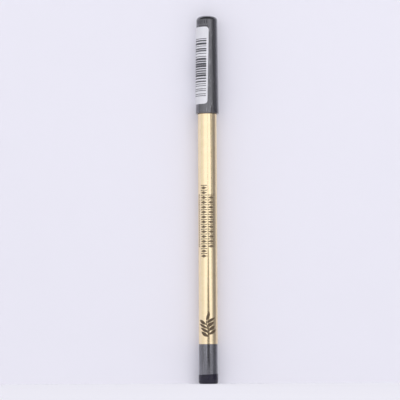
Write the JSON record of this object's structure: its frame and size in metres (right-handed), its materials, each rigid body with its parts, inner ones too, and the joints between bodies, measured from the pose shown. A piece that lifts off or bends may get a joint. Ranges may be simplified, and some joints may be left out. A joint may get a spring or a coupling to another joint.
{
  "type": "eyeliner pencil",
  "caption": "Slim round sharpenable cosmetic pencil with a gold foil barrel, a grey shade band, a dark dipped end and a tapered pull-off cap that carries a paper label.",
  "frame": {"origin": "middle of the flat closed end, at the bottom of the dipped coat", "axes": "+Z along the pencil's axis from the closed end to the cap; -Y towards the side that shows in the picture, so the label sits on the -X side"},
  "size_m": [0.0094, 0.0094, 0.148],
  "materials": {
    "casing_wood": "matte",
    "pigment": "satin",
    "gold_foil": "polished",
    "shade_lacquer": "satin",
    "dip_lacquer": "gloss",
    "cap_coat": "satin",
    "label_paper": "gloss"
  },
  "bodies": {
    "pencil": {"casing_front": "casing_wood", "casing_back": "casing_wood", "pigment_core": "pigment", "gold_foil_sleeve": "gold_foil", "shade_band": "shade_lacquer", "dipped_end": "dip_lacquer"},
    "cap": {"cap": "cap_coat", "barcode_label": "label_paper"}
  },
  "joints": [
    {"name": "cap_pull", "type": "slide", "parent": "pencil", "child": "cap", "axis": [0, 0, 1], "range_m": [0, 0.045]}
  ]
}
